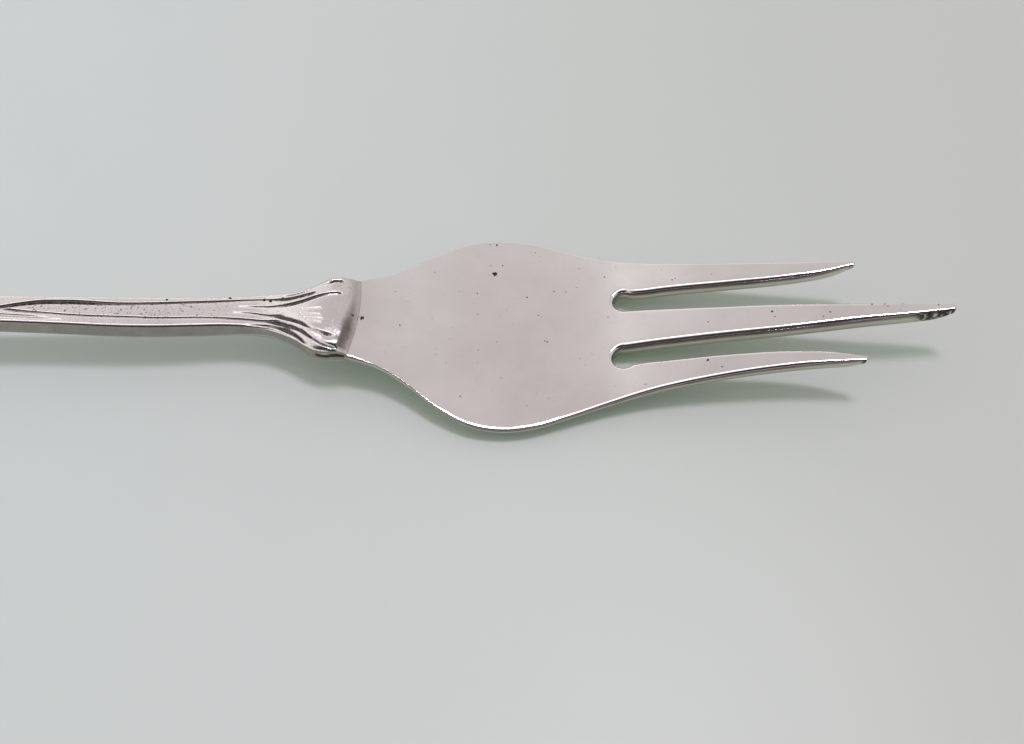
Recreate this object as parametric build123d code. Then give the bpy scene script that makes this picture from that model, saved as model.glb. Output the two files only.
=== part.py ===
from build123d import *
import math
import os

# Pastry fork with a filled handle. Millimetres, +X towards the tines, +Z up.
# The head is a pierced and bent plate, and its tang lies inside the handle. The handle is
# a pressed front shell and a pressed back shell, soldered edge to edge and filled with cement.
# Distances along the fork are from the shoulder line, where the handle's fan lies on the plate,
# and heights on the handle are from the plate's top face.

# Head seen from above
palm_length = 27.2
centre_tine_length = 32.8
outer_tine_setback = 9.3
head_width = 22.7
head_widest_at = 15.0
shoulder_width = 9.4
shoulder_slope = 0.12
shoulder_curve_at = 3.7
shoulder_curve_width = 11.4
palm_back_at = 8.7
palm_back_width = 18.7
palm_front_at = 23.5
palm_front_width = 18.3
waist_at = 30.0
waist_width = 14.7
tine_span = 11.6
outer_tip_slope = 0.03
slot_root_diameter = 2.36
slot_spacing = 6.7
slot_nick = 0.85
outer_tine_gap = 8.4
outer_tine_point = 7.0
outer_tip_width = 0.5
centre_tine_waist_at = 8.8
centre_tine_waist = 3.5
centre_tine_fore_at = 19.8
centre_tine_fore = 2.65
centre_tip_width = 0.7

# Plate, with its thinner outer edge and its tines filed thin underneath at their ends
plate_thickness = 1.75
edge_thickness = 0.75
plate_flat_width = 6.0
tip_thickness = 0.7
centre_tip_run = 2.5
outer_tip_run = 5.0

# Bends of the plate seen from the side, outwards from the lowest point of the belly
belly_at = 17.2
belly_run = 3.0
rise_radius = 45.0
rise_angle = 11.2
tine_bend_radius = 245.0
dip_radius = 32.0
dip_angle = 12.8
dip_run = 6.2
shoulder_bend_radius = 30.0
stem_angle = 2.4
stem_run = 37.0

# Handle seen from above
handle_length = 90.0
fan_end_width = 8.7
fan_end_radius = 20.0
fan_end_reach = 0.45
fan_end_lean = 1.0
fan_end_slope = 0.2
fan_widest_at = 1.6
fan_width = 8.9
flare_at = 4.5
flare_width = 6.8
neck_start_at = 8.5
neck_start_width = 3.8
neck_at = 17.0
neck_width = 3.26
field_at = 26.0
stem_at = 36.0
stem_width = 3.2
grip_to_butt = 20.0
grip_width = 7.2
butt_round_length = 8.0
butt_width = 12.8
butt_end_width = 2.6
butt_steps = 5

# Relief and thickness of the handle
shell_wall = 0.35
cement_cover = 0.3
groove_depth = 0.2
field_groove = 0.05
edge_drop = 0.3
rib_round = 0.25
fan_height = 1.3
lobe_height = 0.8
butt_height = 0.9
butt_end_height = 0.6
fan_side_depth = 1.45
fan_back_depth = 2.55
butt_back_depth = 2.0
seam_depth = 0.6
hollow_round = 0.8
rib_width = 0.85
lobe_rib_width = 1.0
butt_rib_width = 1.4
strand_width = 0.4
lobe_strand_width = 1.0
butt_strand_width = 1.4

# Tang and the mouth of the handle
mouth_width = 7.8
mouth_depth = 1.3
mouth_clearance = 0.05
tang_drop = 0.5
tang_thickness = 1.0
tang_root_width = 4.6
tang_taper_end = 7.0
tang_length = 60.0

# Sizes that follow from the ones above
head_length = palm_length + centre_tine_length
outer_tip_at = head_length - outer_tine_setback
rib_height = cement_cover - tang_drop + shell_wall + groove_depth + field_groove
side_depth = tang_drop + tang_thickness
back_depth = side_depth + cement_cover + shell_wall
tang_width = neck_width - 2 * (shell_wall + cement_cover)
butt_widest_at = handle_length - butt_round_length
grip_at = butt_widest_at - grip_to_butt
fan_end_centre = fan_end_reach - fan_end_radius
mouth_half_width = mouth_width / 2 + mouth_clearance
shoulder_set_back = fan_end_radius - math.sqrt(fan_end_radius**2 - mouth_half_width**2)
shoulder_at = fan_end_reach - shoulder_set_back + mouth_clearance

# Cutting shapes reach past the part by these
overrun = 1.5
well_clear = 30.0


def level_at(curve, x):
    """Second coordinate of a curve at x, or at its nearer end where it doesn't reach x."""
    low, high = (0.0, 1.0) if (curve @ 0).X < (curve @ 1).X else (1.0, 0.0)
    for _ in range(40):
        middle = (low + high) / 2
        if (curve @ middle).X < x:
            low = middle
        else:
            high = middle
    return (curve @ low).Y


def both_sides(edges):
    """Edges on one side of the fork's axis, with their mirror images."""
    return edges + [edge.mirror(Plane.XZ) for edge in edges]


def cross_line(x, width):
    """A straight line across the fork at x."""
    return Line((x, width / 2), (x, -width / 2))


def upright(edges):
    """A solid over a closed outline, tall enough to cut the whole fork."""
    return extrude(make_face(edges), amount=well_clear, both=True)


# Top line of the plate seen from the side, from the belly forwards and backwards
belly = Line((belly_at - belly_run / 2, 0), (belly_at + belly_run / 2, 0))
rise = JernArc(belly @ 1, (1, 0), rise_radius, rise_angle)
tine_turn = math.degrees((head_length + overrun - (rise @ 1).X) / tine_bend_radius)
tine_bend = JernArc(rise @ 1, rise % 1, tine_bend_radius, -tine_turn)
dip = JernArc(belly @ 0, (-1, 0), dip_radius, -dip_angle)
dip_line = Line(dip @ 1, (dip @ 1) + (dip % 1) * dip_run)
shoulder_bend = JernArc(dip_line @ 1, dip_line % 1, shoulder_bend_radius, dip_angle - stem_angle)
stem_line = Line(shoulder_bend @ 1, (shoulder_bend @ 1) + (shoulder_bend % 1) * stem_run)
butt_end = (-handle_length, side_depth - plate_thickness)
butt_bend = TangentArc(stem_line @ 1, butt_end, tangent=stem_line % 1)
butt_line = Line(butt_bend @ 1, (butt_bend @ 1) + (butt_bend % 1) * overrun)
top_line = Wire([butt_line, butt_bend, stem_line, shoulder_bend, dip_line, dip, belly, rise, tine_bend])
side_path = Plane.XZ * top_line


def bent_band(section):
    """A band of one cross-section, bent along the plate's top line."""
    heading = side_path % 0
    forwards = heading if heading.X > 0 else -heading
    start = Plane(side_path @ 0, x_dir=(0, 1, 0), z_dir=forwards)
    return sweep(start * section, path=side_path)


def slope_at(x):
    """Slope of the plate's top line at x."""
    return (level_at(top_line, x + overrun / 2) - level_at(top_line, x - overrun / 2)) / overrun


def points_at(x, points):
    """Points across the fork at x, given by width and by height over the plate's top."""
    base = level_at(top_line, x)
    return [(x, y, base + z) for y, z in points]


def straight_lines(x, points):
    """Straight lines across the fork at x, from each point to the next."""
    places = points_at(x, points)
    return [Edge.make_line(start, end) for start, end in zip(places, places[1:])]


def stations(places, per_span=3):
    """Places along the fork, with each span between them divided evenly."""
    spans = zip(places, places[1:])
    inner = [start + (end - start) * step / per_span for start, end in spans for step in range(per_span)]
    return [*inner, places[-1]]


# Fork head: an outline with round-ended slots, cut from the bent plate
slot_root = slot_root_diameter / 2
slot_centre = Vector(palm_length, slot_spacing / 2)
slot_nick_rise = math.sqrt(slot_root**2 - slot_nick**2)
outer_edge = Spline(
    (shoulder_at, shoulder_width / 2),
    (shoulder_curve_at, shoulder_curve_width / 2),
    (palm_back_at, palm_back_width / 2),
    (head_widest_at, head_width / 2),
    (palm_front_at, palm_front_width / 2),
    (waist_at, waist_width / 2),
    (outer_tip_at, tine_span / 2),
    tangents=[(1, shoulder_slope), (1, -outer_tip_slope)],
    tangent_scalars=[1, 1],
)
slot_end = ThreePointArc(
    slot_centre + (slot_nick, slot_nick_rise),
    slot_centre + (-slot_root, 0),
    slot_centre + (0, -slot_root),
)
point_at = outer_tip_at - outer_tine_point
outer_tine_inside = Spline(
    slot_end @ 0,
    ((palm_length + point_at) / 2, outer_tine_gap / 2),
    (point_at, outer_tine_gap / 2),
    (outer_tip_at, tine_span / 2 - outer_tip_width),
)
outer_tip = ThreePointArc(
    outer_tine_inside @ 1,
    (outer_tip_at + outer_tip_width / 2, (tine_span - outer_tip_width) / 2),
    outer_edge @ 1,
)
centre_tip_at = head_length - centre_tip_width / 2
centre_tine_side = Spline(
    slot_end @ 1,
    (palm_length + centre_tine_waist_at, centre_tine_waist / 2),
    (palm_length + centre_tine_fore_at, centre_tine_fore / 2),
    (centre_tip_at, centre_tip_width / 2),
)
centre_tip = ThreePointArc(
    (centre_tip_at, centre_tip_width / 2), (head_length, 0), (centre_tip_at, -centre_tip_width / 2)
)
mouth_step = Polyline(
    (shoulder_at, shoulder_width / 2), (shoulder_at, mouth_width / 2), (-mouth_depth, mouth_width / 2)
)
mouth_end = cross_line(-mouth_depth, mouth_width)
head_side = [*mouth_step.edges(), outer_edge, outer_tip, outer_tine_inside, slot_end, centre_tine_side]
band_width = head_width + 2 * overrun
plate_band = bent_band(Pos(0, -plate_thickness / 2) * Rectangle(band_width, plate_thickness))
plate = plate_band & upright(both_sides(head_side) + [centre_tip, mouth_end])


def plate_depth(x, y):
    """Depth of the plate's sloping underside at x and y, from its flat middle to its thin edge."""
    flat = plate_flat_width / 2
    edge = level_at(outer_edge, min(x, palm_front_at))
    return plate_thickness - (plate_thickness - edge_thickness) * (y - flat) / (edge - flat)


def bevel_section(x):
    """Section at x of what is taken off under one side of the plate."""
    inner = plate_flat_width / 2 - overrun / 2
    outer = level_at(outer_edge, min(x, palm_front_at)) + overrun / 2
    lean = math.hypot(1, slope_at(x))
    low = -2 * plate_thickness
    corners = [(inner, low), (inner, -lean * plate_depth(x, inner))]
    corners += [(outer, -lean * plate_depth(x, outer)), (outer, low)]
    return Face(Wire(straight_lines(x, [*corners, corners[0]])))


# The underside is filed away to thin edges on both sides of its flat middle
bevel_places = [-mouth_depth - overrun, shoulder_curve_at, palm_back_at, head_widest_at, palm_front_at]
bevel_places += [waist_at, outer_tip_at, head_length + overrun]
bevel = loft([bevel_section(x) for x in stations(bevel_places)])
plate = plate - bevel - bevel.mirror(Plane.XZ)


def tip_bevel(tip_at, run, inner, outer):
    """What is filed off under a tine's end, over a run up to its tip and between two widths."""
    start_at = tip_at - run
    under_start = (start_at, level_at(top_line, start_at) - plate_thickness)
    under_tip = (tip_at, level_at(top_line, tip_at) - tip_thickness)
    under_line = TangentArc(under_start, under_tip, tangent=(1, slope_at(start_at)))
    beyond = tip_at + overrun
    corners = [(beyond, under_tip[1]), (beyond, -well_clear), (start_at, -well_clear)]
    below_tip = Polyline(under_tip, *corners, under_start)
    side_face = Plane.XZ * make_face([under_line, *below_tip.edges()])
    return Pos(0, inner, 0) * extrude(side_face, amount=outer - inner, dir=(0, 1, 0))


# Each tine is filed thin under its end
between_tines = slot_spacing / 2
outer_tip_bevel = tip_bevel(outer_tip_at, outer_tip_run, between_tines, head_width / 2)
plate -= tip_bevel(head_length, centre_tip_run, -between_tines, between_tines)
plate = plate - outer_tip_bevel - outer_tip_bevel.mirror(Plane.XZ)

# Tang: thinner than the plate, tapered through the fan and then straight
tang_side = Polyline(
    (0, tang_root_width / 2),
    (-mouth_depth, tang_root_width / 2),
    (-tang_taper_end, tang_width / 2),
    (-tang_length, tang_width / 2),
)
tang_ends = [cross_line(0, tang_root_width), cross_line(-tang_length, tang_width)]
tang_middle = -tang_drop - tang_thickness / 2
tang_band = bent_band(Pos(0, tang_middle) * Rectangle(band_width, tang_thickness))
tang = tang_band & upright(both_sides([*tang_side.edges()]) + tang_ends)
fork_head = plate + tang

# Handle seen from above, with a rounded butt
handle_side = Spline(
    (shoulder_at, fan_end_width / 2),
    (-fan_widest_at, fan_width / 2),
    (-flare_at, flare_width / 2),
    (-neck_start_at, neck_start_width / 2),
    (-neck_at, neck_width / 2),
    (-stem_at, stem_width / 2),
    (-grip_at, grip_width / 2),
    (-butt_widest_at, butt_width / 2),
    tangents=[(-1, fan_end_slope), (-1, 0)],
    tangent_scalars=[1, 1],
)
butt_turn = math.acos(butt_end_width / butt_width)
butt_radius = butt_round_length / math.sin(butt_turn)
fan_front_at = fan_end_reach + overrun

# Lines that the relief follows along the handle: places, and values to ease between
rib_heights = [
    (-handle_length, butt_end_height),
    (-butt_widest_at, butt_height),
    (-stem_at, rib_height),
    (-neck_at, rib_height),
    (-fan_widest_at, lobe_height),
]
field_heights = [
    (-handle_length, butt_end_height),
    (-butt_widest_at, butt_height),
    (-grip_at, rib_height - groove_depth),
    (-stem_at, rib_height),
    (-field_at, rib_height - groove_depth),
    (-neck_at, rib_height - groove_depth),
    (-fan_widest_at, fan_height),
]
groove_depths = [(-butt_widest_at, 0), (-grip_at, groove_depth)]
strand_depths = [(-neck_at, 0), (-flare_at, groove_depth)]
rib_widths = [
    (-butt_widest_at, butt_rib_width),
    (-stem_at, rib_width),
    (-neck_at, rib_width),
    (-flare_at, lobe_rib_width),
]
strand_widths = [
    (-butt_widest_at, butt_strand_width),
    (-stem_at, strand_width),
    (-neck_at, strand_width),
    (-flare_at, lobe_strand_width),
]
side_depths = [(-neck_at, side_depth), (-neck_start_at, fan_side_depth)]
hollow_side_depths = [
    (-grip_at, side_depth - shell_wall),
    (-stem_at, side_depth),
    (-neck_at, side_depth),
    (-flare_at, fan_side_depth - shell_wall),
]
back_depths = [
    (-handle_length, side_depth),
    (-butt_widest_at, butt_back_depth),
    (-grip_at, back_depth),
    (-neck_at, back_depth),
    (-flare_at, fan_back_depth),
]


def eased(stops, x):
    """Value at x of a line that eases from each stop to the next."""
    if x <= stops[0][0]:
        return stops[0][1]
    for (place, value), (next_place, next_value) in zip(stops, stops[1:]):
        if x <= next_place:
            step = (x - place) / (next_place - place)
            return value + (next_value - value) * step * step * (3 - 2 * step)
    return stops[-1][1]


def half_width(x):
    """Half the handle's width at x."""
    if x >= -butt_widest_at:
        return level_at(handle_side, x)
    past = (-butt_widest_at - x) / butt_radius
    return butt_width / 2 * math.sqrt(1 - past * past)


def groove_floor(x):
    """Height of the lowest groove across the front at x."""
    cut = eased(groove_depths, x)
    field_cut = cut * field_groove / groove_depth
    return min(eased(rib_heights, x) - cut, eased(field_heights, x) - field_cut)


def smooth_line(x, points):
    """One smooth line across the handle at x."""
    steps = [index / (len(points) - 1) for index in range(len(points))]
    return Edge.make_spline(points_at(x, points), parameters=steps)


def mirrored(points):
    """The same points on the other side of the handle, in the opposite order."""
    return [(-y, z) for y, z in reversed(points)]


def section_between(front_lines, back_lines):
    """A face between the lines of the front and those of the back, each in order across it."""
    near_side = Edge.make_line(front_lines[0] @ 0, back_lines[0] @ 0)
    far_side = Edge.make_line(front_lines[-1] @ 1, back_lines[-1] @ 1)
    return Face(Wire([*front_lines, far_side, *back_lines, near_side]))


def handle_section(x):
    """Outer section of the handle at x: rib, strand, middle field, strand and rib over a convex back."""
    half = half_width(x)
    rib = eased(rib_heights, x)
    field = eased(field_heights, x)
    strand_cut = eased(strand_depths, x)
    floor = groove_floor(x)
    share = min(half_width(x) / half_width(max(x, -butt_widest_at)), 1.0)
    groove_y = half - eased(rib_widths, x) * share
    field_y = groove_y - eased(strand_widths, x) * share
    crest_y = (half + groove_y) / 2
    rib_points = [
        (half, rib - edge_drop),
        ((half + crest_y) / 2, rib - edge_drop * rib_round),
        (crest_y, rib),
        ((crest_y + groove_y) / 2, rib - (rib - floor) * rib_round),
        (groove_y, floor),
    ]
    strand_points = [
        (groove_y, floor),
        ((groove_y + field_y) / 2, field - strand_cut),
        (field_y, field - 2 * strand_cut),
    ]
    field_points = [(field_y, field - 2 * strand_cut), (0, field), (-field_y, field - 2 * strand_cut)]
    front_lines = [
        *straight_lines(x, rib_points),
        *straight_lines(x, strand_points),
        smooth_line(x, field_points),
        *straight_lines(x, mirrored(strand_points)),
        *straight_lines(x, mirrored(rib_points)),
    ]
    side = eased(side_depths, x)
    back_points = [(half, -side), (0, -eased(back_depths, x)), (-half, -side)]
    return section_between(front_lines, [smooth_line(x, back_points)])


def hollow_section(x):
    """Section of the hollow inside the shells at x, a wall's thickness inside the handle."""
    half = half_width(x) - shell_wall
    roof = groove_floor(x) - shell_wall
    side = eased(hollow_side_depths, x)
    deep = eased(back_depths, x) - shell_wall
    slope_point = (half / 2, -side - (deep - side) * hollow_round)
    back_points = [(half, -side), slope_point, (0, -deep)]
    back_lines = straight_lines(x, [*back_points, *mirrored(back_points[:-1])])
    return section_between(straight_lines(x, [(half, roof), (-half, roof)]), back_lines)


# Handle body, cut to its outline and to the leaning, rounded end of the fan
stem_places = [-flare_at, -neck_start_at, -neck_at, -field_at, -stem_at, -grip_at, -butt_widest_at]
butt_turns = [butt_turn * step / butt_steps for step in range(1, butt_steps + 1)]
butt_places = [-butt_widest_at - butt_radius * math.sin(turn) for turn in butt_turns]
body_places = [fan_front_at, -fan_widest_at, *stem_places]
body = loft([handle_section(x) for x in [*stations(body_places), *butt_places]])
fan_base = level_at(top_line, 0)
fan_block = Pos(0, 0, fan_base) * Box(
    2 * fan_front_at + 2 * flare_at, 2 * fan_width, well_clear
)
fan_round = Pos(fan_end_centre, 0, fan_base - well_clear / 2) * Cylinder(fan_end_radius, well_clear)
fan_cone_height = fan_height + overrun
fan_lean = fan_end_lean * fan_cone_height / fan_height
fan_cone = Pos(fan_end_centre, 0, fan_base + fan_cone_height / 2) * Cone(
    fan_end_radius, fan_end_radius - fan_lean, fan_cone_height
)
body -= fan_block - fan_round - fan_cone

# Hollow of the handle, closed at the mouth and at the butt
hollow_places = [-mouth_depth, *stem_places, -(butt_widest_at + handle_length) / 2]
hollow = loft([hollow_section(x) for x in stations(hollow_places)])
mouth_corner = -plate_depth(shoulder_at, mouth_half_width) - mouth_clearance
mouth_flat = (plate_flat_width / 2, -plate_thickness - mouth_clearance)
mouth_side = [mouth_flat, (mouth_half_width, mouth_corner), (mouth_half_width, mouth_clearance)]
mouth_band = bent_band(make_face(Polyline(*mouth_side, *mirrored(mouth_side), close=True)))
mouth_box = Pos(fan_front_at - mouth_depth, 0, 0) * Box(2 * fan_front_at, head_width, well_clear)
mouth = mouth_band & mouth_box

# Shells, parted at the seam, and the cement that fills the hollow round the tang
seam = Pos(0, 0, -seam_depth) * side_path
seam_low = -well_clear
below = Polyline(seam @ 0, ((seam @ 0).X, 0, seam_low), ((seam @ 1).X, 0, seam_low), seam @ 1)
below_seam = extrude(
    Face(Wire([*seam.edges(), *below.edges()])), amount=well_clear, dir=(0, 1, 0), both=True
)
wall = body - hollow - mouth
front_shell = wall - below_seam
back_shell = wall & below_seam
handle_filling = hollow - fork_head

# The fork's middle goes over the origin, and its lowest points on the ground
pieces = {
    "fork_head": fork_head,
    "front_shell": front_shell,
    "back_shell": back_shell,
    "handle_filling": handle_filling,
}
middle = (head_length - handle_length) / 2
ground = min(piece.bounding_box().min.Z for piece in pieces.values())
os.makedirs("parts", exist_ok=True)
for node, piece in pieces.items():
    export_step(Pos(-middle, 0, -ground) * piece, f"parts/{node}.step")
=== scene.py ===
import math

import bmesh
import bpy
import numpy as np
from mathutils import Matrix, Vector
from mathutils.geometry import delaunay_2d_cdt


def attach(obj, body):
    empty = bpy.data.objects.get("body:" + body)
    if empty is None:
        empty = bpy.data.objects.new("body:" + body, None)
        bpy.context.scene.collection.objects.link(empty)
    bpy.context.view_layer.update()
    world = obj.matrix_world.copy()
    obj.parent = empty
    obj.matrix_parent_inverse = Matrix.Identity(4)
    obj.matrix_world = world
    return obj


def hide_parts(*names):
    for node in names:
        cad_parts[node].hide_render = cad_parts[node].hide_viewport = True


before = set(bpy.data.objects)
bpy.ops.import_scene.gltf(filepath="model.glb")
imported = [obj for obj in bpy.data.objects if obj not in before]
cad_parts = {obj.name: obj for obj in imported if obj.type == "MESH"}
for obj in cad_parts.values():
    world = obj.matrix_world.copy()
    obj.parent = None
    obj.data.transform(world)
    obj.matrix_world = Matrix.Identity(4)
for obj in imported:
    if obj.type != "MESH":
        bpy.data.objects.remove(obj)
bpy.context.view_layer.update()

# Fork head
# One silver plate, pierced to make three tines, filed to its outline, with its edges rounded by wear.
# It is bent into a shallow belly, and its shoulder runs in under the fan at the handle's end.

# Millimetres along the fork from the shoulder line, and across it from the middle
mm = 0.001
shoulder_from_middle = 15.0
plate_top_at_belly = 1.75
belly_at = 17.2
belly_half_run = 1.5
rise_radius = 45.0
rise_angle = math.radians(11.2)
tine_bend_radius = 245.0
dip_radius = 32.0
dip_angle = math.radians(12.8)
dip_run = 6.2
shoulder_bend_radius = 30.0
stem_angle = math.radians(2.4)
stem_run = 37.0
butt_bend_radius = 187.0
longest_run = 60.0
bends_forwards = [
    (belly_half_run, 0.0),
    (rise_radius * math.sin(rise_angle), 1 / rise_radius),
    (longest_run, -1 / tine_bend_radius),
]
bends_backwards = [
    (belly_half_run, 0.0),
    (dip_radius * math.sin(dip_angle), 1 / dip_radius),
    (dip_run * math.cos(dip_angle), 0.0),
    (shoulder_bend_radius * (math.sin(dip_angle) - math.sin(stem_angle)), -1 / shoulder_bend_radius),
    (stem_run * math.cos(stem_angle), 0.0),
    (longest_run, -1 / butt_bend_radius),
]


def plate_top(x):
    """Height of the plate's top face at x, along the bends outwards from the belly."""
    left = abs(x - belly_at)
    sine = 0.0
    height = plate_top_at_belly
    for length, curvature in bends_forwards if x > belly_at else bends_backwards:
        step = min(left, length)
        turned = sine + step * curvature
        if curvature:
            height += (math.sqrt(1 - sine**2) - math.sqrt(1 - turned**2)) / curvature
        else:
            height += step * sine / math.sqrt(1 - sine**2)
        sine = turned
        left -= step
        if left <= 0:
            break
    return height


def smooth_through(places, spacing):
    """Points about a spacing apart on a smooth curve through the given places."""
    knots = np.array(places, float)
    spans = np.linalg.norm(np.diff(knots, axis=0), axis=1)
    reach = np.concatenate([[0.0], np.cumsum(spans)])
    slopes = np.gradient(knots, reach, axis=0)
    along = np.linspace(0.0, reach[-1], max(2, round(reach[-1] / spacing) + 1))
    span = np.clip(np.searchsorted(reach, along, side="right") - 1, 0, len(spans) - 1)
    length = spans[span][:, None]
    part = ((along - reach[span]) / spans[span])[:, None]
    start = (1 + 2 * part) * (1 - part) ** 2 * knots[span]
    end = part**2 * (3 - 2 * part) * knots[span + 1]
    leave = part * (1 - part) ** 2 * slopes[span] * length
    arrive = part**2 * (part - 1) * slopes[span + 1] * length
    return start + end + leave + arrive


def arc_points(centre, radius, start, end, count):
    """Points on a round arc, with its angles in degrees."""
    turns = np.radians(np.linspace(start, end, count))
    return np.array(centre) + radius * np.column_stack([np.cos(turns), np.sin(turns)])


outline_spacing = 0.22
palm_side = [
    (-1.6, 3.3), (-1.0, 4.25), (0.2, 4.62), (2.7, 5.3), (5.7, 7.05), (8.7, 9.35), (11.5, 10.8),
    (15.0, 11.34), (18.2, 10.92), (21.3, 9.95),
]
far_tine_side = [(25.5, 8.58), (29.5, 7.75), (35.6, 7.02), (43.6, 6.38), (50.3, 5.93)]
near_tine_side = [(25.5, 8.6), (29.5, 7.58), (35.6, 6.62), (43.6, 5.92), (50.3, 5.74)]
far_edge = smooth_through(palm_side + far_tine_side, outline_spacing)
near_edge = smooth_through(palm_side + near_tine_side, outline_spacing)
far_tip = arc_points((50.42, 5.69), 0.24, 80, -80, 7)
near_tip = arc_points((50.42, 5.5), 0.24, 80, -80, 7)
far_tine_inside = smooth_through(
    [(50.3, 5.45), (47.5, 4.78), (43.5, 4.38), (38.0, 4.24), (31.5, 4.2), (29.2, 4.13), (28.4, 4.16)],
    outline_spacing,
)
near_tine_inside = smooth_through(
    [(50.3, 5.26), (47.5, 4.58), (43.5, 4.12), (38.0, 4.0), (31.5, 4.12), (29.2, 4.16), (28.3, 4.24)],
    outline_spacing,
)
far_slot_end = arc_points((27.4, 3.3), 1.1, 60, 260, 22)
near_slot_end = arc_points((27.2, 3.37), 1.2, 46, 266, 24)
centre_tine_side = smooth_through(
    [
        (27.4, 2.2), (31.3, 2.0), (36.0, 1.78), (43.1, 1.5), (47.0, 1.26), (51.0, 0.98), (55.0, 0.74),
        (59.5, 0.34),
    ],
    outline_spacing,
)
centre_tip = arc_points((59.62, 0.0), 0.36, 66, 0, 5)
far_outline = np.concatenate(
    [far_edge, far_tip, far_tine_inside, far_slot_end, centre_tine_side, centre_tip]
)
near_outline = np.concatenate(
    [near_edge, near_tip, near_tine_inside, near_slot_end, centre_tine_side, centre_tip]
) * (1, -1)
head_outline = np.concatenate([far_outline, near_outline[::-1][1:]])
closest_points = 0.03
gaps = np.linalg.norm(head_outline - np.roll(head_outline, 1, axis=0), axis=1)
head_outline = head_outline[gaps > closest_points]

# The centre tine bows a little to the near side
centre_tine_half = 3.0
bow_from = 30.0
bow_run = 30.0
bow = 0.12
bowed = (np.abs(head_outline[:, 1]) < centre_tine_half) & (head_outline[:, 0] > bow_from)
bow_there = bow * np.sin((head_outline[:, 0] - bow_from) / bow_run * math.pi)
head_outline[:, 1] -= np.where(bowed, bow_there, 0.0)

# The plate is thickest down the middle, and its underside rises straight to thin edges
plate_thickness = 1.75
edge_thickness = 0.75
underside_flat = 3.0
palm_front_at = 23.5
tip_thickness = 0.7
centre_tip_at = 60.0
centre_tip_run = 2.5
outer_tip_at = 50.7
outer_tip_run = 5.0
between_tines = 3.25


def share_between(value, start, end):
    """0 before start and 1 past end, straight between."""
    return min(max((value - start) / (end - start), 0.0), 1.0)


def plate_thickness_at(x, y):
    """Thickness of the plate at x and y."""
    edge = np.interp(min(x, palm_front_at), far_edge[:, 0], far_edge[:, 1])
    past = share_between(abs(y), underside_flat, edge)
    across = plate_thickness - (plate_thickness - edge_thickness) * past
    if abs(y) > between_tines:
        tip_at, run = outer_tip_at, outer_tip_run
    else:
        tip_at, run = centre_tip_at, centre_tip_run
    in_run = share_between(x, tip_at - run, tip_at)
    return min(across, plate_thickness - (plate_thickness - tip_thickness) * in_run**2)


ahead = np.roll(head_outline, -1, axis=0) - head_outline
behind = head_outline - np.roll(head_outline, 1, axis=0)
way_ahead = ahead / np.linalg.norm(ahead, axis=1)[:, None]
way_behind = behind / np.linalg.norm(behind, axis=1)[:, None]
along_edge = way_ahead + way_behind
along_edge /= np.linalg.norm(along_edge, axis=1)[:, None]
inwards = np.column_stack([along_edge[:, 1], -along_edge[:, 0]])
outline_count = len(head_outline)

# The worn edge is rounder where the plate is thicker, and finer towards the tips and the shoulder
edge_rounding = 0.23
sharp_run = [0.2, 2.2, 6.8, 9.0]
sharp_share = 0.06
outer_tine_end = 50.66
outer_room_at_tip = 0.3
outer_room_growth = 0.12
centre_room_at_tip = 0.25
centre_room_growth = 0.075
edge_thickness_there = np.array([plate_thickness_at(x, y) for x, y in head_outline])
on_outer_tine = np.abs(head_outline[:, 1]) > centre_tine_half
outer_room = outer_room_at_tip + outer_room_growth * (outer_tine_end - head_outline[:, 0])
centre_room = centre_room_at_tip + centre_room_growth * (centre_tip_at - head_outline[:, 0])
tip_room = np.clip(np.where(on_outer_tine, outer_room, centre_room), 0, 1)
roundness = np.interp(head_outline[:, 0], sharp_run, [1.0, sharp_share, sharp_share, 1.0])
edge_radius = edge_rounding * edge_thickness_there * tip_room * roundness

# Use has worn a gentle slope along the edges that face the near side, but not beside the shoulder
widest_wear = 0.25
steepest_wear = math.radians(14)
far_wear_share = 0.2
shoulder_wear_share = 0.5
tine_wear_run = [34.0, 46.0]
tine_wear_share = 0.5
worn_along = np.interp(head_outline[:, 0], sharp_run, [shoulder_wear_share, 0.0, 0.0, 1.0])
near_share = np.clip(inwards[:, 1], 0, 1) * worn_along
tine_share = np.interp(head_outline[:, 0], tine_wear_run, [1.0, tine_wear_share])
side_share = far_wear_share + (1 - far_wear_share) * near_share
wear_width = widest_wear * tip_room * tine_share * side_share
wear_tilt = steepest_wear * near_share

# The slope is narrower where the outline turns sharply
narrowing_rounds = 60
narrowing = 0.85
least_step_share = 0.2
for attempt in range(narrowing_rounds):
    worn_outline = head_outline + inwards * (edge_radius + wear_width)[:, None]
    worn_step = np.roll(worn_outline, -1, axis=0) - worn_outline
    tight = np.sum(worn_step * ahead, axis=1) < least_step_share * np.sum(ahead**2, axis=1)
    for shift in (-3, -2, -1, 1, 2, 3):
        tight = tight | np.roll(tight, shift)
    wear_width = np.where(tight, narrowing * wear_width, wear_width)
wear_drop = 0.5 * wear_width * np.tan(wear_tilt)

# Rings from the flat of the top, down the worn slope and over the rounded edge, each with its distance in
# from the outline, its drop below the top and how far round the edge it lies
top_rings = []
for share in (1.0, 0.8, 0.6, 0.4, 0.2):
    inset = edge_radius * (1 - np.sin(wear_tilt)) + wear_width * share
    top_rings.append((inset, wear_drop * (1 - share) ** 2, np.zeros(outline_count)))
for share in np.linspace(1.0, 0.0, 9):
    turn = (math.pi / 2 - wear_tilt) * share
    rounded = np.cos(wear_tilt) - np.sin(turn)
    top_rings.append((edge_radius * (1 - np.cos(turn)), wear_drop + edge_radius * rounded, rounded))

# Rings round the underside's edge: a share of the rounding inwards, and a height over the underside
under_rings = [(0.0, 0.16), (0.15, 0.05), (0.5, 0.0), (1.4, 0.0)]


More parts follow.
